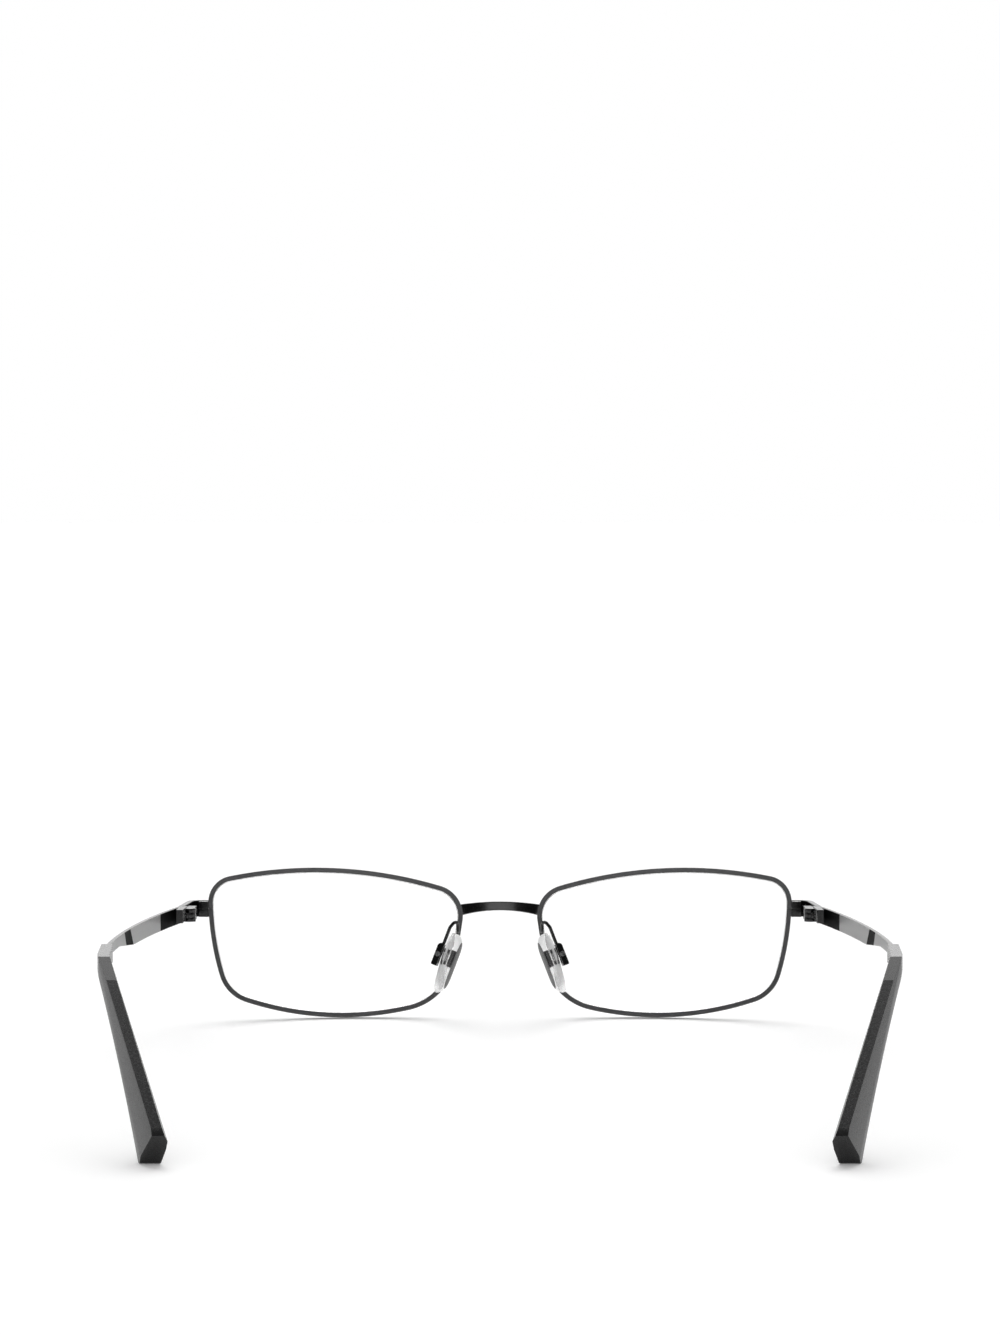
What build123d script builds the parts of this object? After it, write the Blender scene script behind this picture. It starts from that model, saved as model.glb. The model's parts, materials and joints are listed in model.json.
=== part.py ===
from build123d import *
import math
import os

# Spectacles with full metal rims. Millimetres and degrees.
# X runs to the wearer's left, Y from the front to the back, Z up.
# The pieces are drawn as worn, with level temples, then tipped to stand on rims and tips.

# Lenses
lens_width = 54.0
lens_height = 31.2
bridge_gap = 17.0
lens_curve_radius = 120.0
lens_thickness = 1.8
lens_ridge = 0.5
lens_play = 0.04
face_wrap = 4.0
front_lean = 8.0

# Lens outline: corners as shares of half the width and half the height, clockwise from the upper
# outer corner; bows of the outer, bottom, nasal and top sides and corner radii as shares of the height
corner_shares = ((1.002, 0.80), (0.857, -0.702), (-0.884, -0.741), (-1.01, 0.632))
bow_shares = (0.039, 0.1375, 0.005, 0.135)
corner_radius_shares = (0.163, 0.256, 0.394, 0.198)
side_names = ("outer", "bottom", "nasal", "top")

# Rims
rim_outside = 0.62
rim_inside = 0.38
rim_depth = 1.7
groove_width = 0.6
rim_slit = 0.05

# Bridge
bridge_height = 2.5
bridge_middle_height = 1.9
bridge_thickness = 1.1
bridge_level = 6.82
bridge_rise = 0.8
bridge_bow = 1.4

# Endpieces and the locks that close the rims
endpiece_level = 7.1
endpiece_height = 3.5
endpiece_thickness = 1.2
endpiece_forward = 0.5
endpiece_corner_radius = 2.4
endpiece_out = 3.75
lock_width = 1.8
lock_depth = 2.1
lock_height = 3.3
lock_reach = 1.05
lock_screw_radius = 0.5
lock_head_radius = 0.8
lock_head_height = 0.35

# Hinges
hinge_back = 15.5
hinge_radius = 1.3
hinge_height = 2.8
knuckle_height = 1.0
knuckle_play = 0.05
hinge_air = 0.15
front_leaf_length = 6.0
temple_leaf_length = 10.5
temple_leaf_height = 2.8
temple_leaf_rise = 0.55
leaf_thickness = 1.0
screw_radius = 0.5
screw_play = 0.05
screw_head_radius = 0.85
screw_head_height = 0.4
slot_width = 0.22
slot_depth = 0.2

# Temples
temple_length = 140.0
drop_length = 44.5
drop_angle = 39.4
temple_spread = 5.22
blade_bow = 2.6
blade_thickness = 0.85
blade_height = 3.5
joint_lead = 1.5
joint_gap = 0.1
neck_height = 2.0
neck_length = 37.6
neck_slope = 19.0
core_inset = 6.0
core_height = 1.3
bend_radius = 5.0
toe_in = 20.7
toe_radius = 14.0

# Temple tips; down the end face, the shares say where each side is widest
tip_lead = 11.3
tip_front_up = 2.05
tip_front_down = 1.3
tip_front_thickness = 2.1
tip_crease_back = 0.9
tip_crease_up = 0.95
tip_facet_length = 6.6
tip_facet_up = 1.85
tip_end_bevel = 1.5
tip_end_thickness = 4.4
tip_end_up = 2.4
tip_end_down = 4.7
tip_hollow = 1.1
tip_end_slant = 9.0
tip_corner_radius = 0.8
tip_back_out = 0.6
tip_back_in = 1.2
tip_low_out = 1.9
tip_low_in = 1.45
tip_outer_share = 0.8
tip_inner_share = 0.27
tip_bevel_share = 0.05

# Nose pads
pad_lean = 21.0
pad_splay = 10.0
pad_height = 13.3
pad_width = 6.8
pad_thickness = 2.8
pad_back_slope = 6.0
pad_edge_round = 1.2
pad_gap = 0.85
pad_drop = 1.2
pad_screw_out = 4.15
pad_screw_back = 4.21
pad_screw_below = 4.85
box_depth = 1.3
box_width = 1.9
box_height = 5.0
box_wall = 0.3
box_back_wall = 0.15
box_round = 0.2
box_top_round = 0.8
stem_play = 0.1
stem_height = 1.8
stem_eye_radius = 0.42
shoulder_height = 3.4
shoulder_thickness = 0.25
shoulder_sink = 0.45
plate_height = 3.7
plate_width = 3.0
plate_thickness = 0.8
plate_sink = 1.2
pad_screw_radius = 0.25
pad_screw_play = 0.03
pad_screw_head_radius = 0.55
pad_screw_head_height = 0.3

# Pad arms
arm_radius = 0.36
arm_root_level = 2.1
arm_root_back = 1.8
arm_braze = 0.03
arm_loop_rise = 2.9
arm_loop_back = 3.4
arm_box_rise = 3.8
arm_bend_radius = 1.0

overrun = 1.0


def front_point(u, v, back=0.0):
    """A place on the left lens's middle surface, in the upright front."""
    sag = lens_curve_radius - math.sqrt(lens_curve_radius**2 - u * u - v * v) + back
    return eye_centre + Vector(u, sag, v).rotate(Axis.Z, face_wrap)


def rounded(face, corners_and_radii):
    for corner, radius in corners_and_radii:
        vertex = face.vertices().sort_by_distance(corner)[0]
        face = fillet(vertex, radius)
    return face


def upright(face, reach):
    """A plan, seen from above, carried up and down from the temples' level."""
    return Pos(0, 0, temple_level) * extrude(face, amount=reach, both=True)


lens_corners = [Vector(x * lens_width / 2, y * lens_height / 2) for x, y in corner_shares]
eye_centre = Vector((lens_width + bridge_gap) / 2, 0, 0)
eye_place = Pos(eye_centre) * Rot(0, 0, face_wrap)
worn_place = Rot(front_lean, 0, 0)


def outline_circle(number, grow):
    """Centre and radius of the circle that one side of the lens outline lies on."""
    start = lens_corners[number]
    end = lens_corners[(number + 1) % len(lens_corners)]
    bow = bow_shares[number] * lens_height
    radius = ((end - start).length ** 2 / 4 + bow**2) / (2 * bow)
    outward = (end - start).normalized().rotate(Axis.Z, 90)
    return (start + end) / 2 + outward * (bow - radius), radius + grow


def circles_meet(first, second, corner):
    """Where two circles cross, nearest to a corner."""
    (first_centre, first_radius), (second_centre, second_radius) = first, second
    apart = (second_centre - first_centre).length
    toward = (second_centre - first_centre).normalized()
    along = (apart**2 + first_radius**2 - second_radius**2) / (2 * apart)
    beside_line = math.sqrt(first_radius**2 - along**2)
    middle = first_centre + toward * along
    sideways = toward.rotate(Axis.Z, 90) * beside_line
    return min(middle + sideways, middle - sideways, key=lambda place: (place - corner).length)


def lens_prism(grow):
    """A prism through the left eye with the lens outline, grown outwards by a length."""
    circles = [outline_circle(number, grow) for number in range(len(lens_corners))]
    corners = [circles_meet(circles[n - 1], circles[n], lens_corners[n]) for n in range(len(circles))]
    sides = []
    for number, (centre, radius) in enumerate(circles):
        start = corners[number]
        end = corners[(number + 1) % len(corners)]
        middle = centre + ((start + end) / 2 - centre).normalized() * radius
        sides.append(ThreePointArc(start, middle, end))
    radii = [share * lens_height + grow for share in corner_radius_shares]
    face = rounded(make_face(sides), zip(corners, radii))
    return extrude(Plane.XZ * face, amount=lens_width / 4, both=True)


def curved_sheet(thickness):
    """A spherical sheet that the lens's middle surface lies in."""
    half = thickness / 2
    sheet = Sphere(lens_curve_radius + half) - Sphere(lens_curve_radius - half)
    return Pos(0, lens_curve_radius, 0) * sheet


def make_lens():
    body = lens_prism(-rim_inside - lens_play) & curved_sheet(lens_thickness)
    ridge = lens_prism(-lens_play) & curved_sheet(lens_ridge)
    return worn_place * eye_place * (body + ridge)


def make_rim():
    ring = (lens_prism(rim_outside) - lens_prism(-rim_inside)) & curved_sheet(rim_depth)
    groove = lens_prism(0) & curved_sheet(groove_width)
    slit = Pos(rim_side) * Box(3 * rim_depth, 4 * rim_depth, rim_slit)
    return worn_place * eye_place * (ring - groove) - slit


# Where the endpiece leaves the rim
rim_side = front_point(lens_width / 2 + rim_outside, endpiece_level).rotate(Axis.X, front_lean)
rim_room = worn_place * eye_place * lens_prism(rim_outside)
temple_level = rim_side.Z
endpiece_y = rim_side.Y - endpiece_forward
corner_x = rim_side.X + endpiece_out
hinge_y = rim_side.Y + hinge_back
joint_y = hinge_y - joint_lead

# Temple line seen from above: an outward bow from the joint to the bend, then a run that toes in
bend_y = hinge_y + temple_length - drop_length
blade_slope = math.atan2(temple_spread, bend_y - joint_y)
joint_x = corner_x + (joint_y - endpiece_y) * math.tan(blade_slope)
bend_x = joint_x + temple_spread
plate_inner_x = joint_x - blade_thickness / 2
hinge_x = plate_inner_x - hinge_radius - hinge_air
hinge_point = Vector(hinge_x, hinge_y, temple_level)
half_hinge = hinge_height / 2
half_knuckle = knuckle_height / 2


def make_bridge():
    reach = bridge_gap / 2 + rim_outside
    low = bridge_level - bridge_height / 2
    high = bridge_level + bridge_height / 2
    middle_high = high + bridge_rise
    middle_low = middle_high - bridge_middle_height
    top = ThreePointArc((-reach, high), (0, middle_high), (reach, high))
    bottom = ThreePointArc((-reach, low), (0, middle_low), (reach, low))
    front_view = make_face([top, bottom, Line(top @ 0, bottom @ 0), Line(top @ 1, bottom @ 1)])
    level = front_point(-lens_width / 2, bridge_level).Y
    arcs = []
    for shift in (-bridge_thickness / 2, bridge_thickness / 2):
        y = level + shift
        arcs.append(ThreePointArc((-reach, y), (0, y - bridge_bow), (reach, y)))
    near, far = arcs
    plan = make_face([near, far, Line(near @ 0, far @ 0), Line(near @ 1, far @ 1)])
    body = extrude(Plane.XZ * front_view, amount=bridge_gap, both=True)
    body &= extrude(plan, amount=bridge_gap, both=True)
    return worn_place * body - rim_room - mirror(rim_room, about=Plane.YZ)


def beside(run, shift):
    """The line to the left of a run of three points, at a distance."""
    first = (run[1] - run[0]).normalized().rotate(Axis.Z, 90)
    second = (run[2] - run[1]).normalized().rotate(Axis.Z, 90)
    miter = (first + second) / (1 + first.dot(second))
    return [run[0] + first * shift, run[1] + miter * shift, run[2] + second * shift]


def make_endpiece():
    half = endpiece_thickness / 2
    run = [
        Vector(rim_side.X - endpiece_thickness, endpiece_y),
        Vector(corner_x, endpiece_y),
        Vector(joint_x, joint_y - joint_gap),
    ]
    inner = beside(run, half)
    outer = beside(run, -half)
    plan = make_face(Polyline(inner + outer[::-1], close=True))
    bends = [(inner[1], endpiece_corner_radius - half), (outer[1], endpiece_corner_radius + half)]
    return upright(rounded(plan, bends), endpiece_height / 2) - rim_room


def make_locks():
    """Upper and lower halves of the closing block, and the screw from below."""
    near = endpiece_y + endpiece_thickness / 2
    middle = Vector(rim_side.X + lock_width / 2, near + lock_depth / 2, temple_level)
    block = Pos(middle) * Box(2 * lock_reach, lock_depth, lock_height) - rim_room - endpiece
    hole = Pos(middle) * Cylinder(lock_screw_radius, lock_height + overrun)
    head_place = Pos(middle - Vector(0, 0, (lock_height - lock_head_height) / 2))
    head = head_place * Cylinder(lock_head_radius, lock_head_height)
    slit = Pos(middle) * Box(3 * lock_width, 2 * lock_depth, rim_slit)
    lower, upper = (block - hole - head - slit).solids().sort_by(Axis.Z)
    shank = Pos(middle) * Cylinder(lock_screw_radius, lock_height)
    slot_place = head_place * Pos(0, 0, -lock_head_height / 2)
    slot = slot_place * Box(2 * lock_head_radius, slot_width, 2 * slot_depth)
    return upper, lower, shank + head - slot


def knuckle(radius, low, high):
    """A round barrel about the hinge axis between two heights above the hinge's middle."""
    return Pos(hinge_point + Vector(0, 0, (low + high) / 2)) * Cylinder(radius, high - low)


def leaf(start_y, end_y, half_height, inner_x, outer_x, rise=0.0):
    """A flat block beside the endpiece or the blade."""
    middle = Vector((inner_x + outer_x) / 2, (start_y + end_y) / 2, temple_level + rise)
    return Pos(middle) * Box(outer_x - inner_x, end_y - start_y, 2 * half_height)


def make_front_hinge():
    inner_x = hinge_x - hinge_radius + 2 * hinge_air
    body = knuckle(hinge_radius, -half_hinge, half_hinge)
    body += leaf(hinge_y - front_leaf_length, hinge_y, half_hinge, inner_x, joint_x)
    body -= knuckle(hinge_radius + hinge_air, -half_knuckle - knuckle_play, half_knuckle + knuckle_play)
    body -= knuckle(screw_radius + screw_play, 0, half_hinge + overrun)
    body -= knuckle(screw_radius, -half_hinge - overrun, 0)
    body -= knuckle(screw_head_radius, half_hinge - screw_head_height, half_hinge + overrun)
    swing_x = plate_inner_x - hinge_air
    swing = leaf(joint_y - joint_gap, bend_y, half_hinge + overrun, swing_x, joint_x + overrun)
    return body - swing - endpiece


def make_hinge_screw():
    shank = knuckle(screw_radius, -half_hinge, half_hinge)
    head = knuckle(screw_head_radius, half_hinge - screw_head_height, half_hinge)
    slot_place = Pos(hinge_point + Vector(0, 0, half_hinge))
    return shank + head - slot_place * Box(2 * screw_head_radius, slot_width, 2 * slot_depth)


def make_temple_hinge():
    start_y = hinge_y + hinge_radius + hinge_air
    body = knuckle(hinge_radius, -half_knuckle, half_knuckle)
    body += leaf(hinge_y, hinge_y + 2 * hinge_radius, half_knuckle, hinge_x, joint_x)
    inner_x = plate_inner_x - leaf_thickness
    end_y = hinge_y + temple_leaf_length
    body += leaf(start_y, end_y, temple_leaf_height / 2, inner_x, joint_x, temple_leaf_rise)
    body -= knuckle(screw_radius + screw_play, -half_hinge, half_hinge)
    return body - upright(blade_plan(), endpiece_height)


def blade_arc(shift):
    """One face of the blade seen from above, shifted outwards from its middle line."""
    start = Vector(joint_x + shift, joint_y)
    end = Vector(bend_x + shift, bend_y)
    outward = (end - start).normalized().rotate(Axis.Z, -90)
    return ThreePointArc(start, (start + end) / 2 + outward * blade_bow, end)


def toe_point(run, shift):
    """A point behind the bend seen from above, back along the toed run and out from its middle."""
    back = Vector(0, 1).rotate(Axis.Z, toe_in)
    out = Vector(1, 0).rotate(Axis.Z, toe_in)
    return Vector(bend_x, bend_y) + back * run + out * shift


def blade_plan():
    """The blade and its core from above."""
    half = blade_thickness / 2
    outer = blade_arc(half)
    inner = blade_arc(-half)
    far = toe_point(drop_length, half)
    near = toe_point(drop_length, -half)
    face = make_face([outer, Polyline(outer @ 1, far, near, inner @ 1), inner, Line(inner @ 0, outer @ 0)])
    return rounded(face, [(outer @ 1, toe_radius + half), (inner @ 1, toe_radius - half)])


def drop_point(run, rise):
    """A point of the side view along the run below the bend, and above its middle line."""
    along = Vector(1, 0).rotate(Axis.Z, -drop_angle)
    up = Vector(0, 1).rotate(Axis.Z, -drop_angle)
    return Vector(bend_y, 0) + along * run + up * rise


def bend_corner(rise):
    """Where a line beside the level run meets its line beside the drop, in the side view."""
    return Vector(bend_y + rise * math.tan(math.radians(drop_angle) / 2), rise)


def side_prism(face):
    """The side view, carried across the temple's whole width."""
    standing = Plane(origin=(bend_x, 0, temple_level), x_dir=(0, 1, 0), z_dir=(1, 0, 0))
    return extrude(standing * face, amount=lens_width, both=True)


def make_blade():
    half = blade_height / 2
    core_half = core_height / 2
    mouth_y = bend_y - tip_lead
    core_end = drop_length - core_inset
    outline = [
        Vector(joint_y, -half),
        Vector(joint_y, half),
        Vector(mouth_y, half),
        bend_corner(core_half),
        drop_point(core_end, core_half),
        drop_point(core_end, -core_half),
        bend_corner(-core_half),
        Vector(mouth_y, half - neck_height),
        Vector(mouth_y - neck_length + neck_slope, half - neck_height),
        Vector(mouth_y - neck_length, -half),
    ]
    bends = [(bend_corner(core_half), bend_radius), (bend_corner(-core_half), bend_radius - core_half)]
    bends += [(corner, neck_slope / 2) for corner in (outline[2], outline[-3], outline[-2], outline[-1])]
    side_view = rounded(make_face(Polyline(outline, close=True)), bends)
    return side_prism(side_view) & upright(blade_plan(), temple_length)


def tip_plan():
    """The temple tip from above: even up to the bend, then thicker towards the end."""
    front = tip_front_thickness / 2
    rear = tip_end_thickness / 2
    arc = blade_arc(0)
    mouth_share = 1 - tip_lead / (bend_y - joint_y)
    mouth = arc @ mouth_share
    side = (arc % mouth_share).rotate(Axis.Z, -90)
    outline = [
        mouth + side * front,
        Vector(bend_x + front, bend_y),
        toe_point(drop_length, rear),
        toe_point(drop_length, -rear),
        Vector(bend_x - front, bend_y),
        mouth - side * front,
    ]
    face = make_face(Polyline(outline, close=True))
    return rounded(face, [(outline[1], toe_radius + front), (outline[4], toe_radius - front)])


def tip_end(share):
    """A point of the side view down the end face, from its top at 0 to its foot at 1."""
    rise = tip_end_up - share * (tip_end_up + tip_end_down)
    return drop_point(drop_length - rise * math.tan(math.radians(tip_end_slant)), rise)


def tip_crease():
    """Where the sleeve's top turns down, in the side view."""
    return Vector(bend_y + tip_crease_back, tip_crease_up)


def tip_side():
    low_corner = bend_corner(-tip_front_down)
    mouth_y = bend_y - tip_lead
    inward = (tip_end(1) - low_corner).normalized().rotate(Axis.Z, 90)
    belly = (low_corner + tip_end(1)) / 2 + inward * tip_hollow
    mouth = [Vector(mouth_y, -tip_front_down), Vector(mouth_y, tip_front_up)]
    top_facet = drop_point(tip_facet_length, tip_facet_up)
    bevel_start = tip_end(0) - (tip_end(0) - top_facet).normalized() * tip_end_bevel
    end_face = [tip_end(tip_bevel_share), tip_end(1)]
    lines = [
        Polyline(low_corner, *mouth, tip_crease(), top_facet, bevel_start, *end_face),
        ThreePointArc(tip_end(1), belly, low_corner),
    ]
    bends = [
        (low_corner, bend_radius - tip_front_down),
        (tip_end(1), tip_corner_radius),
    ]
    return rounded(make_face(lines), bends)


def worn_point(side_point, shift):
    """A place of the side view put at a distance outwards from the toed run's middle."""
    behind = side_point.X - bend_y
    toe = math.radians(toe_in)
    x = bend_x - behind * math.tan(toe) + shift / math.cos(toe)
    return Vector(x, side_point.X, temple_level + side_point.Y)


def make_tip():
    """The sleeve with flats along its four long edges, which widen towards the end."""
    tip = side_prism(tip_side()) & upright(tip_plan(), temple_length)
    front = tip_front_thickness / 2
    rear = tip_end_thickness / 2
    top = tip_crease()
    low = bend_corner(-tip_front_down)
    flats = [
        (top, front, 0, tip_back_out, tip_outer_share, rear),
        (top, -front, 0, -tip_back_in, tip_inner_share, -rear),
        (low, front, 1, tip_low_out, tip_outer_share, rear),
        (low, -front, 1, -tip_low_in, tip_inner_share, -rear),
    ]
    behind_bend = Pos(0, bend_y + tip_crease_back, 0) * Box(
        2 * lens_width, 2 * drop_length, 2 * temple_length, align=(Align.MIN, Align.MIN, Align.CENTER)
    )
    for corner, start_shift, end_share, end_shift, widest_share, widest_shift in flats:
        start = worn_point(corner, start_shift)
        edge = worn_point(tip_end(end_share), end_shift)
        widest = worn_point(tip_end(widest_share), widest_shift)
        normal = (edge - start).cross(widest - start)
        outward = normal if normal.X * start_shift > 0 else -normal
        flat = Plane(origin=start, x_dir=edge - start, z_dir=outward)
        tip -= extrude(flat * Rectangle(3 * drop_length, 3 * drop_length), amount=drop_length) & behind_bend
    return tip - blade


def arm_root():
    """Where the pad arm leaves the back of the rim's nasal side."""
    centre, radius = outline_circle(side_names.index("nasal"), 0)
    nasal_u = centre.X - math.sqrt(radius**2 - (arm_root_level - centre.Y) ** 2)
    return front_point(nasal_u, arm_root_level, rim_depth / 2 + arm_braze)


# Nose pads, drawn about the pad screw: X towards the nose, Y across, Z up
pad_screw_place = arm_root() + Vector(pad_screw_out, pad_screw_back, -pad_screw_below)
pad_local = Pos(pad_screw_place) * Rot(0, -pad_lean, 0)
pad_local *= Rot(0, 0, 180 - pad_splay)
pad_place = worn_place * pad_local
across = Rot(90, 0, 0)


def make_pad_box():
    corners = [Vector(x * box_depth / 2, z * box_height / 2) for x in (-1, 1) for z in (-1, 1)]
    radii = [box_round, box_top_round, box_round, box_round]
    side_view = rounded(Rectangle(box_depth, box_height), zip(corners, radii))
    shell = extrude(Plane.XZ * side_view, amount=box_width / 2, both=True)
    room_place = Pos(box_back_wall, 0, 0)
    room = room_place * Box(box_depth, box_width - 2 * box_wall, box_height - 4 * box_wall)
    return shell - room - across * Cylinder(pad_screw_radius, box_width + overrun)


def make_pad_screw():
    head_place = Pos(0, -(box_width + pad_screw_head_height) / 2, 0)
    head = head_place * across * Cylinder(pad_screw_head_radius, pad_screw_head_height)
    slot_place = head_place * Pos(0, -pad_screw_head_height / 2, 0)
    slot = slot_place * Box(2 * pad_screw_head_radius, 2 * slot_depth, slot_width)
    return across * Cylinder(pad_screw_radius, box_width) + head - slot


def make_insert():
    stem_width = box_width - 2 * box_wall - 2 * stem_play
    back_x = box_depth / 2 + pad_gap
    length = back_x + plate_sink
    stem = Pos(length / 2, 0, 0) * Box(length, stem_width, stem_height)
    stem += across * Cylinder(stem_eye_radius, stem_width)
    stem += Pos(back_x + shoulder_sink, 0, 0) * Box(shoulder_thickness, stem_width, shoulder_height)
    return stem - across * Cylinder(pad_screw_radius + pad_screw_play, box_width)


def make_plate():
    """The thin plate on the insert's end, moulded into the pad."""
    plate_x = box_depth / 2 + pad_gap + plate_sink + plate_thickness / 2
    plate = Pos(plate_x, 0, 0) * Box(plate_thickness, plate_width, plate_height)
    return fillet(plate.edges().filter_by(Axis.X), box_round)


def make_pad():
    outline = Plane.YZ * SlotOverall(pad_height, pad_width, rotation=90)
    back_x = box_depth / 2 + pad_gap
    body = Pos(back_x, 0, -pad_drop) * extrude(outline, amount=pad_thickness)
    body = fillet(body.edges().group_by(Axis.X)[-1], pad_edge_round)
    wedge = Pos(back_x, 0, 0) * Rot(0, -pad_back_slope, 0) * Pos(-pad_thickness / 2, 0, -pad_height / 2)
    return body - wedge * Box(pad_thickness, 2 * pad_width, pad_height) - insert - plate


def make_pad_arm():
    """The wire from the back of the rim, up, over and down into the top of the pad box."""
    root = arm_root()
    top = box_height / 2
    medial = box_depth / 2 - arm_radius
    points = [
        root,
        root + Vector(0, arm_root_back, 0),
        root + Vector(0, arm_loop_back, arm_loop_rise),
        (pad_local * Pos(medial, 0, top + arm_box_rise)).position,
        (pad_local * Pos(medial, 0, top)).position,
    ]
    path = FilletPolyline(points, radius=arm_bend_radius)
    return worn_place * sweep(Plane(origin=path @ 0, z_dir=path % 0) * Circle(arm_radius), path=path)


blade = make_blade()
endpiece = make_endpiece()
insert = make_insert()
plate = make_plate()
lock_upper, lock_lower, lock_screw = make_locks()

left_side = {
    "rim": make_rim(),
    "lens": make_lens(),
    "endpiece": endpiece,
    "rim_lock_upper": lock_upper,
    "rim_lock_lower": lock_lower,
    "rim_screw": lock_screw,
    "front_hinge": make_front_hinge(),
    "hinge_screw": make_hinge_screw(),
    "temple_hinge": make_temple_hinge(),
    "temple": blade,
    "temple_tip": make_tip(),
    "pad_arm": make_pad_arm(),
    "pad_box": pad_place * make_pad_box(),
    "pad_screw": pad_place * make_pad_screw(),
    "pad_insert": pad_place * insert,
    "pad_plate": pad_place * plate,
    "nose_pad": pad_place * make_pad(),
}

nodes = {"bridge": make_bridge()}
for name, piece in left_side.items():
    nodes[name + "_left"] = piece
    nodes[name + "_right"] = mirror(piece, about=Plane.YZ)


def lowest(name, tilt):
    return (Rot(tilt, 0, 0) * nodes[name]).bounding_box().min.Z


# The tilt at which rims and tips stand on one level, found by halving
low_tilt = 0.0
high_tilt = drop_angle / 2
for halving in range(24):
    rest_tilt = (low_tilt + high_tilt) / 2
    if lowest("temple_tip_left", rest_tilt) < lowest("rim_left", rest_tilt):
        low_tilt = rest_tilt
    else:
        high_tilt = rest_tilt

standing = {name: Rot(rest_tilt, 0, 0) * piece for name, piece in nodes.items()}
whole = Compound(list(standing.values())).bounding_box()
base = Vector(0, (whole.min.Y + whole.max.Y) / 2, whole.min.Z)

os.makedirs("parts", exist_ok=True)
for name, piece in standing.items():
    export_step(Pos(-base) * piece, "parts/" + name + ".step")
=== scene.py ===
import json
import math

import bpy
from mathutils import Matrix, Vector

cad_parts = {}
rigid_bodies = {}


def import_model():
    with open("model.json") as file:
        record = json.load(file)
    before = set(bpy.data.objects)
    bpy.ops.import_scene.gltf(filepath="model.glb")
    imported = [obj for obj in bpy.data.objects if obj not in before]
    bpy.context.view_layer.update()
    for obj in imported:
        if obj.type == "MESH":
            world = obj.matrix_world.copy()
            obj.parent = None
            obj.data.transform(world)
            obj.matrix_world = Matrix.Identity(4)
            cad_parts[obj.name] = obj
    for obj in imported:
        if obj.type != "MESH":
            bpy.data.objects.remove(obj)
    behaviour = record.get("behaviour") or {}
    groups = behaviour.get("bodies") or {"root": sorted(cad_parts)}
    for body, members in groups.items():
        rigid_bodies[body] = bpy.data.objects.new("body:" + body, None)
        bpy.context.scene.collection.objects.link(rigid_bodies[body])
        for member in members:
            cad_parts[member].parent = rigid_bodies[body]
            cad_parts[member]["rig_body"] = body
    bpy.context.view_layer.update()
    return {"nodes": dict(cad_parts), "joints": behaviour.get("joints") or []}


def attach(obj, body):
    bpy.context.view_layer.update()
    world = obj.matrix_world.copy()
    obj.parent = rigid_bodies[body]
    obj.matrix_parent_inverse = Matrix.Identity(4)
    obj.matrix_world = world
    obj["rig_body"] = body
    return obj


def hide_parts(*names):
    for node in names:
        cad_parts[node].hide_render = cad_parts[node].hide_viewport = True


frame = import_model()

mm = 0.001
sides = ("left", "right")
bpy.context.scene.view_settings.view_transform = "Standard"
print("frame loaded:", len(frame["nodes"]), "nodes")


# selection and finishing steps that every piece shares; lengths in mm, angles in degrees

finish = {"mergeGap": 0.0005, "sameFlat": 0.5, "levelPlay": 0.01, "smoothUpTo": 35, "flatWeight": 80}
tipCreases = {"lines": (41.35, 46.92), "reach": 0.12}


def pickOnly(piece):
    bpy.ops.object.select_all(action="DESELECT")
    piece.select_set(True)
    bpy.context.view_layer.objects.active = piece


def editAll(piece):
    pickOnly(piece)
    bpy.ops.object.mode_set(mode="EDIT")
    bpy.ops.mesh.select_all(action="SELECT")


def leaveEdit():
    bpy.ops.object.mode_set(mode="OBJECT")


def editPoints(piece, level, side):
    # edit mode with the points above (side 1) or below (side -1) a level picked
    editAll(piece)
    bpy.ops.mesh.select_all(action="DESELECT")
    leaveEdit()
    for vertex in piece.data.vertices:
        vertex.select = (vertex.co.z - level) * side > finish["levelPlay"] * mm
    bpy.ops.object.mode_set(mode="EDIT")


def applyPlace(piece):
    pickOnly(piece)
    bpy.ops.object.transform_apply(location=True, rotation=True, scale=True)


def copyNode(nodeName, pieceName):
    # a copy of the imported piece, its loose triangles merged into whole faces
    piece = bpy.data.objects.new(pieceName, frame["nodes"][nodeName].data.copy())
    bpy.context.scene.collection.objects.link(piece)
    piece.data.materials.clear()
    editAll(piece)
    bpy.ops.mesh.customdata_custom_splitnormals_clear()
    bpy.ops.mesh.remove_doubles(threshold=finish["mergeGap"] * mm)
    bpy.ops.mesh.dissolve_limited(angle_limit=math.radians(finish["sameFlat"]))
    leaveEdit()
    return piece


def roundEdges(piece, width, steps=3, sharpest=40, clamp=False):
    pickOnly(piece)
    bevel = piece.modifiers.new("edges", "BEVEL")
    bevel.width = width * mm
    bevel.segments = steps
    bevel.limit_method = "ANGLE"
    bevel.angle_limit = math.radians(sharpest)
    bevel.use_clamp_overlap = clamp
    bpy.ops.object.modifier_apply(modifier="edges")


def keepCreases(piece):
    # the two shallow creases across a sleeve's top stay crisp, over its rounded edges too
    for edge in piece.data.edges:
        ends = [piece.data.vertices[corner].co.y / mm for corner in edge.vertices]
        for line in tipCreases["lines"]:
            if max(abs(end - line) for end in ends) < tipCreases["reach"]:
                edge.use_edge_sharp = True


def smoothShade(piece, creased=False):
    pickOnly(piece)
    bpy.ops.object.shade_smooth_by_angle(angle=math.radians(finish["smoothUpTo"]))
    if creased:
        keepCreases(piece)
    flats = piece.modifiers.new("flats", "WEIGHTED_NORMAL")
    flats.weight = finish["flatWeight"]
    flats.keep_sharp = True
    bpy.ops.object.modifier_apply(modifier="flats")


def handOver(piece, nodeName):
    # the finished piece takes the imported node's place and rides on its body
    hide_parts(nodeName)
    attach(piece, frame["nodes"][nodeName]["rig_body"])


# node helpers for materials and the world

noiseSpan = (0.35, 0.65)  # where most of a noise lies


def grey(level, tint=0.0):
    return (level, level, level * (1 + tint), 1)


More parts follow.
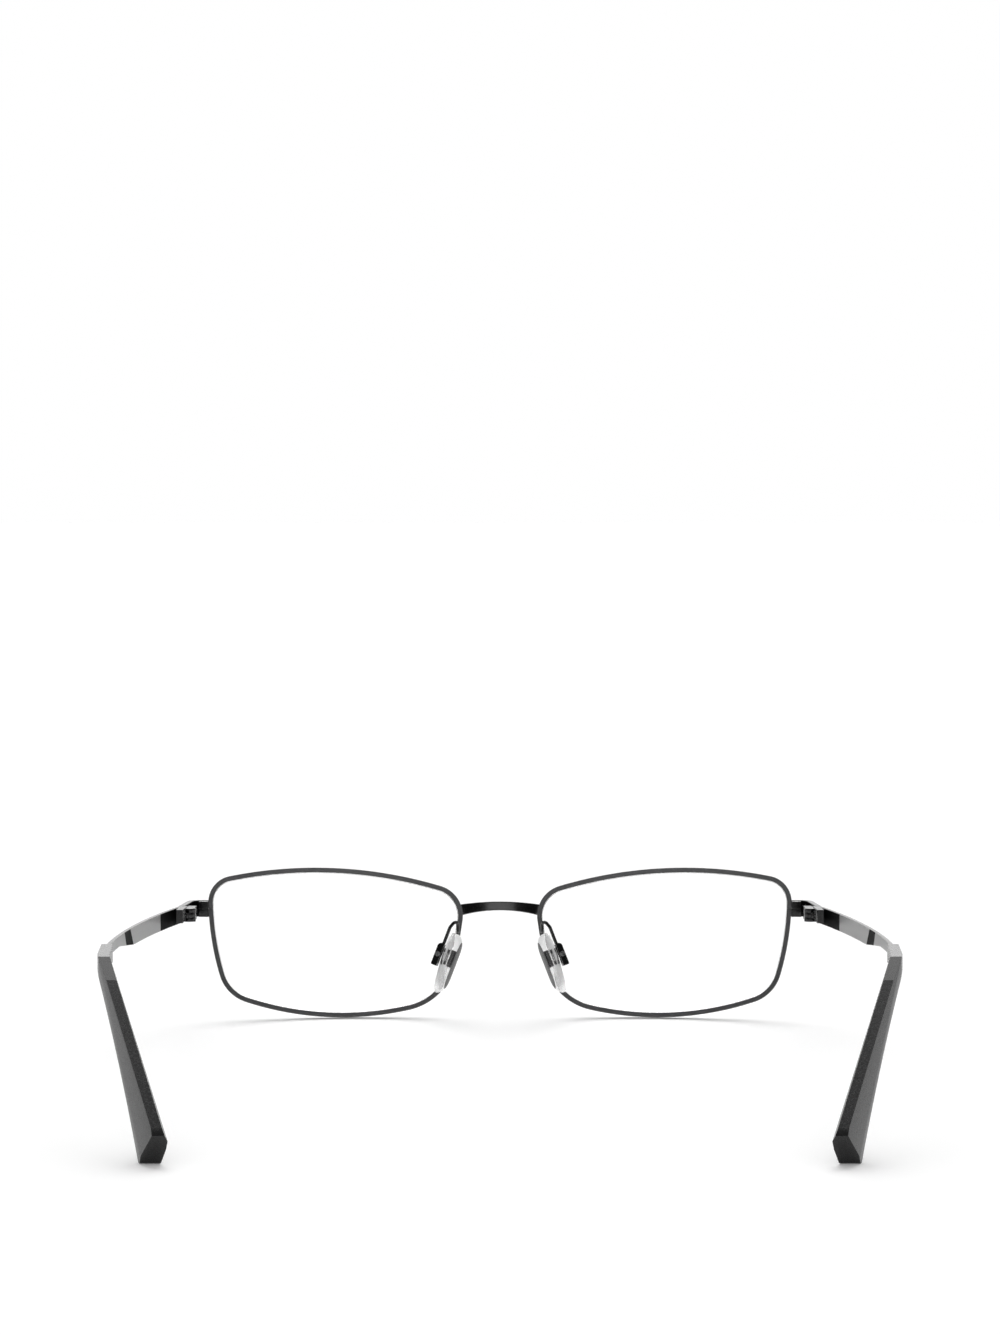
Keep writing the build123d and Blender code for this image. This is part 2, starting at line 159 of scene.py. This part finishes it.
def newMaterial(name, **sockets):
    material = bpy.data.materials.new(name)
    material.use_nodes = True
    shader = material.node_tree.nodes["Principled BSDF"]
    for socket, value in sockets.items():
        shader.inputs[socket.replace("_", " ")].default_value = value
    return material, material.node_tree, shader


def addNoise(tree, scale, detail=4, stretch=(1, 1, 1)):
    # noise over the object's own coordinates; a scale of 1000 gives grains about 1 mm apart
    coords = tree.nodes.new("ShaderNodeTexCoord")
    mapping = tree.nodes.new("ShaderNodeMapping")
    mapping.inputs["Scale"].default_value = stretch
    noise = tree.nodes.new("ShaderNodeTexNoise")
    noise.inputs["Scale"].default_value = scale
    noise.inputs["Detail"].default_value = detail
    tree.links.new(coords.outputs["Object"], mapping.inputs["Vector"])
    tree.links.new(mapping.outputs["Vector"], noise.inputs["Vector"])
    return noise.outputs["Fac"]


def addRamp(tree, source, low, high):
    ramp = tree.nodes.new("ShaderNodeValToRGB")
    for element, position, colour in zip(ramp.color_ramp.elements, noiseSpan, (low, high)):
        element.position = position
        element.color = colour
    tree.links.new(source, ramp.inputs["Fac"])
    return ramp.outputs["Color"]


def addRange(tree, source, low, high, span=noiseSpan):
    spread = tree.nodes.new("ShaderNodeMapRange")
    for name, value in zip(("From Min", "From Max", "To Min", "To Max"), (*span, low, high)):
        spread.inputs[name].default_value = value
    tree.links.new(source, spread.inputs["Value"])
    return spread.outputs["Result"]


def addBump(tree, shader, source, height):
    bump = tree.nodes.new("ShaderNodeBump")
    bump.inputs["Strength"].default_value = 1
    bump.inputs["Distance"].default_value = height * mm
    tree.links.new(source, bump.inputs["Height"])
    tree.links.new(bump.outputs["Normal"], shader.inputs["Normal"])


def feed(tree, socket, value):
    # a link from another node, or a plain value
    if isinstance(value, bpy.types.NodeSocket):
        tree.links.new(value, socket)
    else:
        socket.default_value = value


def calculate(tree, operation, first, second):
    step = tree.nodes.new("ShaderNodeMath")
    step.operation = operation
    feed(tree, step.inputs[0], first)
    feed(tree, step.inputs[1], second)
    return step.outputs["Value"]


def pick(tree, share, first, second):
    mix = tree.nodes.new("ShaderNodeMix")
    feed(tree, mix.inputs["Factor"], share)
    feed(tree, mix.inputs["A"], first)
    feed(tree, mix.inputs["B"], second)
    return mix.outputs["Result"]


# materials

rimLook = {"colour": 0.068, "tint": 0.03, "cloudiness": 0.06, "cloudScale": 400, "ior": 1.5,
           "roughness": (0.36, 0.46), "peelScale": 5000, "peelHeight": 0.002}
blackLook = {"colour": 0.0025, "tint": 0.05, "cloudiness": 0.1, "cloudScale": 500, "ior": 1.5,
             "roughness": (0.14, 0.22), "peelScale": 4000, "peelHeight": 0.0015}
# the temple's matt black is the blade's own black with its gloss taken away, so the hinge zone and the
# slanted band stay as dark as the reflections there: partly painted reflection
mattLook = {"colour": 0.004, "tint": 0.02, "cloudiness": 0.15, "cloudScale": 900, "ior": 1.07,
            "roughness": (0.5, 0.6), "peelScale": 6000, "peelHeight": 0.002}
tipLook = {"colour": 0.006, "tint": 0.03, "cloudiness": 0.06, "cloudScale": 250, "ior": 1.5,
           "roughness": (0.23, 0.29), "peelScale": 2500, "peelHeight": 0.0007}
plateLook = {"colour": 0.012, "tint": 0.03, "cloudiness": 0.1, "cloudScale": 700, "ior": 1.5,
             "roughness": (0.35, 0.45), "peelScale": 3000, "peelHeight": 0.002}
screwLook = {"low": 0.16, "high": 0.3, "edge": 1, "markScale": 6000, "markDetail": 3,
             "stretch": (1, 1, 0.2), "roughness": (0.25, 0.4)}
# the temple's steel zones: a light grey that stands in for the white surround reflected in the blade's
# inside, painted reflection
paintedReflectionLook = {"low": 0.4, "high": 0.43, "edge": 0.6, "markScale": 6000, "markDetail": 2,
             "stretch": (1, 0.015, 1), "roughness": (0.29, 0.31)}
lensLook = {"ior": 1.25, "shade": 0.97, "hazeScale": 200, "roughness": (0.0, 0.01), "through": 1}
padLook = {"ior": 1.12, "shade": 0.99, "hazeScale": 900, "roughness": (0.05, 0.1), "through": 1}
milkLook = {"ior": 1.12, "shade": 0.95, "hazeScale": 600, "roughness": (0.85, 0.95), "through": 0.35}
# the grip's dark grey is painted shade, the darkening of the clear nose face seen edge-on
gripShadeLook = {"dark": 0.12, "light": 0.16, "ribScale": 700, "ribWaver": 0.5, "ribHeight": 0.02,
            "roughness": 0.5, "ior": 1.3}


def enamel(name, look):
    # enamel or smooth plastic: a faint cloudiness, and a fine orange peel in the gloss
    material, tree, shader = newMaterial(name, IOR=look["ior"])
    clouds = addNoise(tree, look["cloudScale"])
    peel = addNoise(tree, look["peelScale"], 2)
    dark = grey(look["colour"] * (1 - look["cloudiness"]), look["tint"])
    light = grey(look["colour"] * (1 + look["cloudiness"]), look["tint"])
    tree.links.new(addRamp(tree, clouds, dark, light), shader.inputs["Base Color"])
    tree.links.new(addRange(tree, peel, *look["roughness"]), shader.inputs["Roughness"])
    addBump(tree, shader, peel, look["peelHeight"])
    return material


def bareSteel(name, look):
    # the marks of turning or brushing vary both the colour and the gloss
    material, tree, shader = newMaterial(name, Metallic=1.0, Specular_Tint=grey(look["edge"]))
    marks = addNoise(tree, look["markScale"], look["markDetail"], look["stretch"])
    shades = addRamp(tree, marks, grey(look["low"]), grey(look["high"]))
    tree.links.new(shades, shader.inputs["Base Color"])
    tree.links.new(addRange(tree, marks, *look["roughness"]), shader.inputs["Roughness"])
    return material


def clearMaterial(name, look):
    # a shadow ray passes straight through, any other ray meets the clear body
    material, tree, shader = newMaterial(name, IOR=look["ior"], Base_Color=grey(1))
    shader.inputs["Transmission Weight"].default_value = look["through"]
    haze = addNoise(tree, look["hazeScale"], 3)
    tree.links.new(addRange(tree, haze, *look["roughness"]), shader.inputs["Roughness"])
    path = tree.nodes.new("ShaderNodeLightPath")
    clear = tree.nodes.new("ShaderNodeBsdfTransparent")
    clear.inputs["Color"].default_value = grey(look["shade"])
    mix = tree.nodes.new("ShaderNodeMixShader")
    tree.links.new(path.outputs["Is Shadow Ray"], mix.inputs["Fac"])
    tree.links.new(shader.outputs["BSDF"], mix.inputs[1])
    tree.links.new(clear.outputs["BSDF"], mix.inputs[2])
    tree.links.new(mix.outputs["Shader"], tree.nodes["Material Output"].inputs["Surface"])
    return material


def ribsWithPaintedShade(name, look):
    # fine ribs across the pad's length, where it holds the nose, on a dark grey that is painted shade:
    # the clear nose face darkens when seen edge-on
    material, tree, shader = newMaterial(name, Roughness=look["roughness"], IOR=look["ior"])
    coords = tree.nodes.new("ShaderNodeTexCoord")
    ribs = tree.nodes.new("ShaderNodeTexWave")
    ribs.bands_direction = "Z"
    ribs.inputs["Scale"].default_value = look["ribScale"]
    ribs.inputs["Distortion"].default_value = look["ribWaver"]
    tree.links.new(coords.outputs["Object"], ribs.inputs["Vector"])
    shades = addRamp(tree, ribs.outputs["Fac"], grey(look["dark"]), grey(look["light"]))
    tree.links.new(shades, shader.inputs["Base Color"])
    addBump(tree, shader, ribs.outputs["Fac"], look["ribHeight"])
    return material


rimEnamel = enamel("rimEnamel", rimLook)
blackEnamel = enamel("blackEnamel", blackLook)
mattBlackAndDarkReflection = enamel("mattBlackAndDarkReflection", mattLook)
tipPlastic = enamel("tipPlastic", tipLook)
plateBlack = enamel("plateBlack", plateLook)
screwSteel = bareSteel("screwSteel", screwLook)
paintedReflectionSteel = bareSteel("paintedReflectionSteel", paintedReflectionLook)
lensGlass = clearMaterial("lensGlass", lensLook)
padSilicone = clearMaterial("padSilicone", padLook)
padMilk = clearMaterial("padMilk", milkLook)
gripPaintedShade = ribsWithPaintedShade("gripPaintedShade", gripShadeLook)
print("materials made:", len(bpy.data.materials))


# hard pieces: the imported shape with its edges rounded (mm) as tumbling and enamel leave them

hardPieces = {
    "rim": (rimEnamel, "rim_metal", 0.14),
    "endpiece": (blackEnamel, "black_metal", 0.16),
    "rim_lock_upper": (blackEnamel, "black_metal", 0.06),
    "rim_lock_lower": (blackEnamel, "black_metal", 0.06),
    "rim_screw": (screwSteel, "screw_steel", 0.03),
    "front_hinge": (blackEnamel, "black_metal", 0.07),
    "hinge_screw": (screwSteel, "screw_steel", 0.04),
    "temple_hinge": (blackEnamel, "black_metal", 0.07),
    "temple": (blackEnamel, "temple_metal", 0.12),
    "temple_tip": (tipPlastic, "tip_plastic", 0.2),
    "pad_arm": (blackEnamel, "black_metal", 0.03),
    "pad_box": (blackEnamel, "black_metal", 0.04),
    "pad_screw": (screwSteel, "screw_steel", 0.04),
    "pad_insert": (padSilicone, "insert_plastic", 0.06),
    "pad_plate": (plateBlack, "plate_metal", 0.1),
    "lens": (lensGlass, "lens_clear", 0.05),
    "bridge": (blackEnamel, "black_metal", 0.18),
}

for stem, (material, slotName, width) in hardPieces.items():
    # the bridge is the one piece without a twin
    nodeNames = [stem] if stem == "bridge" else [stem + "_" + side for side in sides]
    for nodeName in nodeNames:
        piece = copyNode(nodeName, "finished_" + nodeName)
        roundEdges(piece, width, clamp=stem == "temple_tip")
        # a temple is smoothed later, once its inside is painted
        if stem != "temple":
            smoothShade(piece, stem == "temple_tip")
        piece.data.materials.append(material)
        handOver(piece, nodeName)
print("hard pieces finished")


# inside of the temples, painted reflection: matt black at the hinge, bare steel, one slanted matt band,
# bare steel again, laid where the glossy blade shows its dark and light reflections

# these lines follow the edges of the light and dark reflections and lean as those do: painted reflection
reflectionEdges = ({"y": -36.2, "z": 26.0, "lean": 0},
              {"y": -7.6, "z": 25.7, "lean": 45},
              {"y": 1.3, "z": 26.6, "lean": 39})
bladeSlots = {"enamel": 0, "steel": 1, "matt": 2}
reflectionZoneFinishes = ("matt", "steel", "matt", "steel")
bladeFlat = 0.7  # how squarely a face looks inwards to be painted


def lineNormal(line):
    # across a line that leans backwards towards the blade's top
    lean = math.radians(line["lean"])
    return Vector((0, math.cos(lean), -math.sin(lean)))


def pastLine(point, line):
    start = Vector((0, line["y"], line["z"])) * mm
    return (point - start).dot(lineNormal(line)) > 0


for side in sides:
    blade = bpy.data.objects["finished_temple_" + side]
    blade.data.materials.append(paintedReflectionSteel)
    blade.data.materials.append(mattBlackAndDarkReflection)
    for line in reflectionEdges:
        editAll(blade)
        bpy.ops.mesh.bisect(plane_co=Vector((0, line["y"], line["z"])) * mm, plane_no=lineNormal(line))
        leaveEdit()
    for face in blade.data.polygons:
        if abs(face.normal.x) > bladeFlat and face.normal.x * face.center.x < 0:
            passed = [line for line in reflectionEdges if pastLine(face.center, line)]
            face.material_index = bladeSlots[reflectionZoneFinishes[len(passed)]]
    smoothShade(blade)
print("temple insides painted")


# nose pads: soft silicone, domed towards the nose, flat where the stem goes in; mm and degrees

joints = {joint["name"]: joint for joint in frame["joints"]}
hingeAxis = Vector(joints["left_temple_fold"]["axis"])
restTilt = math.atan2(-hingeAxis.y, hingeAxis.z)

padShape = {"height": 13.3, "width": 6.8, "thickness": 2.8, "gap": 1.5, "drop": 1.2, "backSlope": 6,
            "lean": 21, "splay": 10, "frontLean": 8, "straight": 0.9, "backEdge": 0.35, "rings": 7,
            "corners": 96, "strip": 0.3, "paintedShadeFrom": 2.45, "milkFacing": 0.3, "shoulder": (0.31, 0.59),
            "mergeGap": 0.001}


def padPlace():
    # the left pad's own axes: X towards the nose, Y across, Z up, about its screw
    place = Matrix.Translation(Vector(joints["left_pad_rock"]["pos_m"]))
    place @= Matrix.Rotation(math.radians(padShape["frontLean"]) + restTilt, 4, "X")
    place @= Matrix.Rotation(-math.radians(padShape["lean"]), 4, "Y")
    return place @ Matrix.Rotation(math.radians(180 - padShape["splay"]), 4, "Z")


def pushOut(distance, inset, centre):
    # carries the pad's face on towards the nose and draws its outline in
    bpy.ops.mesh.extrude_region_move(TRANSFORM_OT_translate={"value": (distance * mm, 0, 0)})
    wide = 1 - inset[1] / (padShape["width"] / 2 - inset[0])
    high = 1 - inset[1] / (padShape["height"] / 2 - inset[0])
    bpy.ops.transform.resize(value=(1, wide, high), center_override=centre)


def makePad():
    radius = padShape["width"] / 2
    centre = Vector((padShape["gap"], 0, -padShape["drop"])) * mm
    bpy.ops.object.select_all(action="DESELECT")
    bpy.ops.mesh.primitive_circle_add(vertices=padShape["corners"], radius=radius * mm, fill_type="NGON",
                                      location=centre, rotation=(0, math.pi / 2, 0))
    pad = bpy.context.object
    applyPlace(pad)
    # the two ends drawn apart, then the face carried out over a domed edge
    reach = (padShape["height"] / 2 - radius) * mm
    for end in (1, -1):
        editPoints(pad, centre.z, end)
        bpy.ops.transform.translate(value=(0, 0, reach * end))
        leaveEdit()
    editAll(pad)
    pushOut(padShape["straight"], (0, 0), centre)
    drawnIn = 0
    out = 0
    dome = padShape["thickness"] - padShape["straight"]
    for ring in range(1, padShape["rings"] + 1):
        turn = math.pi / 2 * ring / (padShape["rings"] + 1)
        nextIn = (radius - padShape["strip"]) * (1 - math.cos(turn))
        nextOut = dome * math.sin(turn)
        pushOut(nextOut - out, (drawnIn, nextIn - drawnIn), centre)
        drawnIn = nextIn
        out = nextOut
    slope = math.radians(padShape["backSlope"])
    bpy.ops.mesh.select_all(action="SELECT")
    bpy.ops.mesh.bisect(plane_co=(padShape["gap"] * mm, 0, 0),
                        plane_no=(math.cos(slope), 0, math.sin(slope)), use_fill=True, clear_inner=True)
    bpy.ops.mesh.select_all(action="SELECT")
    bpy.ops.mesh.normals_make_consistent(inside=False)
    leaveEdit()
    roundEdges(pad, padShape["backEdge"], steps=4, sharpest=50, clamp=True)
    # clear towards the eye, milky towards the front, a ribbed grip round the nose face in painted shade
    for material in (padSilicone, padMilk, gripPaintedShade):
        pad.data.materials.append(material)
    for face in pad.data.polygons:
        depth = face.center.x / mm - padShape["gap"]
        milky = int(face.normal.y > padShape["milkFacing"])
        face.material_index = 2 if depth > padShape["paintedShadeFrom"] else milky
    pad.matrix_world = padPlace()
    applyPlace(pad)
    return pad


for side in sides:
    pad = makePad()
    pad.name = "clear_pad_" + side
    mirror = 1 if side == "left" else -1
    if side == "right":
        pad.scale = (mirror, 1, 1)
        applyPlace(pad)
        editAll(pad)
        bpy.ops.mesh.remove_doubles(threshold=padShape["mergeGap"] * mm)
        bpy.ops.mesh.normals_make_consistent(inside=False)
        leaveEdit()
    smoothShade(pad)
    handOver(pad, "nose_pad_" + side)
    # the insert's shoulder, a thin dark slab just inside the pad
    insert = bpy.data.objects["finished_pad_insert_" + side]
    insert.data.materials.append(plateBlack)
    place = Matrix.Scale(mirror, 4, (1, 0, 0)) @ padPlace()
    across = (place.to_3x3() @ Vector((1, 0, 0))).normalized()
    for depth in padShape["shoulder"]:
        level = place @ Vector(((padShape["gap"] + depth) * mm, 0, 0))
        editAll(insert)
        bpy.ops.mesh.bisect(plane_co=level, plane_no=across)
        leaveEdit()
    for face in insert.data.polygons:
        depth = (place.inverted() @ face.center).x / mm - padShape["gap"]
        face.material_index = int(padShape["shoulder"][0] < depth < padShape["shoulder"][1])
print("nose pads made")


# camera: behind the wearer's side, a little above, as in the photograph

view = {"distance": 648, "height": 126.621, "downDegrees": 4.0302, "focalPixels": 3357.44,
        "pictureHeight": 1334, "sensor": 36, "nearest": 10}
bpy.ops.object.camera_add(location=(0, view["distance"] * mm, view["height"] * mm))
camera = bpy.context.object
camera.rotation_euler = (math.radians(90 - view["downDegrees"]), 0, math.pi)
camera.data.sensor_width = view["sensor"]
camera.data.lens = view["focalPixels"] * view["sensor"] / view["pictureHeight"]
camera.data.clip_start = view["nearest"] * mm
bpy.context.scene.camera = camera


# studio: white floor and surround, darker in gloss behind the camera and straight above,
# soft light from over the front; metres, degrees and watts

studio = {"floorSize": 8.0, "floorColour": 0.97, "floorGlow": 0.08, "surround": 0.5,
          "behindCamera": 0.04, "behindSpan": (-0.1, 0.5), "overhead": 0.25, "overheadSpan": (0.9, 0.97),
          "sunPower": 2.1, "sunSpread": 60, "sunTilt": 44, "lampRise": 14, "lampAway": 1.5,
          "lampWidth": 0.6, "lampHeight": 0.4, "lampPower": 1.8}


def makeFloor():
    bpy.ops.mesh.primitive_plane_add(size=studio["floorSize"])
    floor = bpy.context.object
    floor.name = "studioFloor"
    material, tree, shader = newMaterial("floorPaper", Roughness=1.0, Specular_IOR_Level=0.0,
                                         Base_Color=grey(studio["floorColour"]), Emission_Color=grey(1))
    # a little of its own white for rays from the camera, in a reflection or through glass
    path = tree.nodes.new("ShaderNodeLightPath")
    seen = calculate(tree, "MAXIMUM", path.outputs["Is Camera Ray"], path.outputs["Is Glossy Ray"])
    seen = calculate(tree, "MAXIMUM", seen, path.outputs["Is Transmission Ray"])
    glow = calculate(tree, "MULTIPLY", seen, studio["floorGlow"])
    tree.links.new(glow, shader.inputs["Emission Strength"])
    floor.data.materials.append(material)


def makeWorld():
    world = bpy.data.worlds.new("studioWorld")
    bpy.context.scene.world = world
    world.use_nodes = True
    tree = world.node_tree
    background = tree.nodes["Background"]
    background.inputs["Color"].default_value = grey(1)
    coords = tree.nodes.new("ShaderNodeTexCoord")
    heading = tree.nodes.new("ShaderNodeSeparateXYZ")
    tree.links.new(coords.outputs["Generated"], heading.inputs["Vector"])
    behind = addRange(tree, heading.outputs["Y"], 1, studio["behindCamera"], studio["behindSpan"])
    above = addRange(tree, heading.outputs["Z"], 1, studio["overhead"], studio["overheadSpan"])
    mirrored = calculate(tree, "MULTIPLY", behind, above)
    path = tree.nodes.new("ShaderNodeLightPath")
    level = pick(tree, path.outputs["Is Glossy Ray"], studio["surround"], mirrored)
    # a ray through glass counts as glossy too, so the clear view comes last
    clear = calculate(tree, "MAXIMUM", path.outputs["Is Camera Ray"], path.outputs["Is Transmission Ray"])
    tree.links.new(pick(tree, clear, level, 1.0), background.inputs["Strength"])


def makeLamps():
    bpy.ops.object.light_add(type="SUN", rotation=(math.radians(studio["sunTilt"]), 0, 0))
    sun = bpy.context.object
    sun.name = "softSun"
    sun.data.energy = studio["sunPower"]
    sun.data.angle = math.radians(studio["sunSpread"])
    rise = math.radians(studio["lampRise"])
    place = (0, studio["lampAway"] * math.cos(rise), studio["lampAway"] * math.sin(rise))
    bpy.ops.object.light_add(type="AREA", location=place, rotation=(rise - math.pi / 2, 0, 0))
    lamp = bpy.context.object
    lamp.name = "windowLamp"
    lamp.data.shape = "RECTANGLE"
    lamp.data.size = studio["lampWidth"]
    lamp.data.size_y = studio["lampHeight"]
    lamp.data.energy = studio["lampPower"]


makeFloor()
makeWorld()
makeLamps()
print("studio set")
